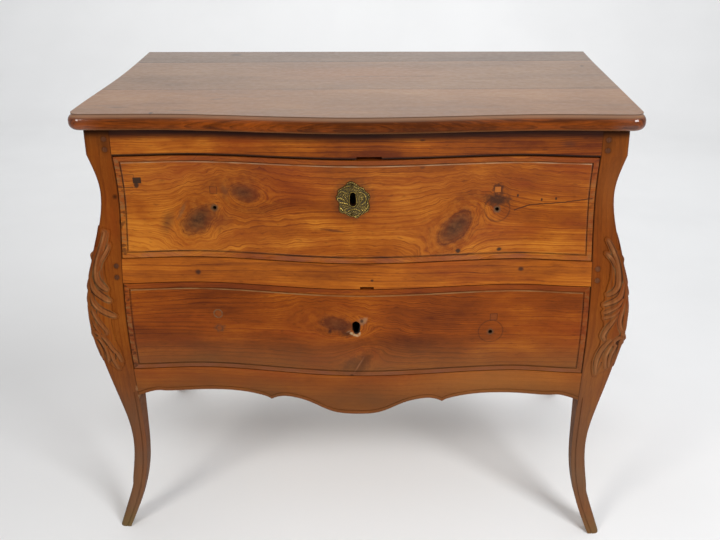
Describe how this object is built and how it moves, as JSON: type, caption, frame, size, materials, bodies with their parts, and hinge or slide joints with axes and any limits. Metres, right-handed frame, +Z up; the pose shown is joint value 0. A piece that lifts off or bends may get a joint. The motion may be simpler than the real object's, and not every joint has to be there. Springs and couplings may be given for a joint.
{
  "type": "bombe chest",
  "caption": "Small cherry bombe chest with sliding locking drawers, bowed front, swelling sides, shaped apron, curved legs with carved corners and a cast brass escutcheon.",
  "frame": {"origin": "on the floor under the middle of the chest's overall box", "axes": "+X across the width to the right of someone facing the drawers, -Y out of the front, +Z up"},
  "size_m": [1.004, 0.63, 0.875],
  "materials": {
    "cherry": "old wax polish on red-brown cherry, satin, worn at the edges and feet",
    "inner_wood": "unfinished secondary wood, dry and dusty",
    "brass": "cast brass with a dark old patina, brighter on the high spots",
    "iron": "dark hand-worked iron"
  },
  "bodies": {
    "carcass": {"back_board_lower": "inner_wood", "back_board_middle": "inner_wood", "back_board_upper": "inner_wood", "back_bottom_rail": "inner_wood", "back_top_rail": "inner_wood", "frame_pegs": "cherry", "front_apron": "cherry", "front_left_post": "cherry", "front_middle_rail": "cherry", "front_right_post": "cherry", "front_top_rail": "cherry", "left_kicker": "inner_wood", "left_side_panel": "cherry", "lower_drawer_stops": "inner_wood", "lower_left_guide": "inner_wood", "lower_left_runner": "inner_wood", "lower_right_guide": "inner_wood", "lower_right_runner": "inner_wood", "rear_left_post": "cherry", "rear_right_post": "cherry", "right_kicker": "inner_wood", "right_side_panel": "cherry", "top_board_front": "cherry", "top_board_middle": "cherry", "top_board_rear": "cherry", "top_dowels": "cherry", "upper_drawer_stops": "inner_wood", "upper_left_guide": "inner_wood", "upper_left_runner": "inner_wood", "upper_right_guide": "inner_wood", "upper_right_runner": "inner_wood"},
    "upper_drawer": {"upper_drawer_back": "inner_wood", "upper_drawer_bottom": "inner_wood", "upper_drawer_escutcheon": "brass", "upper_drawer_escutcheon_pins": "brass", "upper_drawer_front": "cherry", "upper_drawer_left_side": "inner_wood", "upper_drawer_nails": "iron", "upper_drawer_plugs": "cherry", "upper_drawer_right_side": "inner_wood", "upper_lock_cap": "iron", "upper_lock_plate": "iron", "upper_lock_screws": "iron"},
    "lower_drawer": {"lower_drawer_back": "inner_wood", "lower_drawer_bottom": "inner_wood", "lower_drawer_front": "cherry", "lower_drawer_left_side": "inner_wood", "lower_drawer_nails": "iron", "lower_drawer_plugs": "cherry", "lower_drawer_right_side": "inner_wood", "lower_lock_cap": "iron", "lower_lock_plate": "iron", "lower_lock_screws": "iron"},
    "upper_lock_bolt": {"upper_lock_bolt": "iron"},
    "lower_lock_bolt": {"lower_lock_bolt": "iron"}
  },
  "joints": [
    {"name": "upper_drawer_slide", "type": "slide", "parent": "carcass", "child": "upper_drawer", "axis": [0, -1, 0], "range_m": [0, 0.38]},
    {"name": "lower_drawer_slide", "type": "slide", "parent": "carcass", "child": "lower_drawer", "axis": [0, -1, 0], "range_m": [0, 0.38]},
    {"name": "upper_bolt_slide", "type": "slide", "parent": "upper_drawer", "child": "upper_lock_bolt", "axis": [0, 0, 1], "range_m": [0, 0.01]},
    {"name": "lower_bolt_slide", "type": "slide", "parent": "lower_drawer", "child": "lower_lock_bolt", "axis": [0, 0, 1], "range_m": [0, 0.01]}
  ]
}
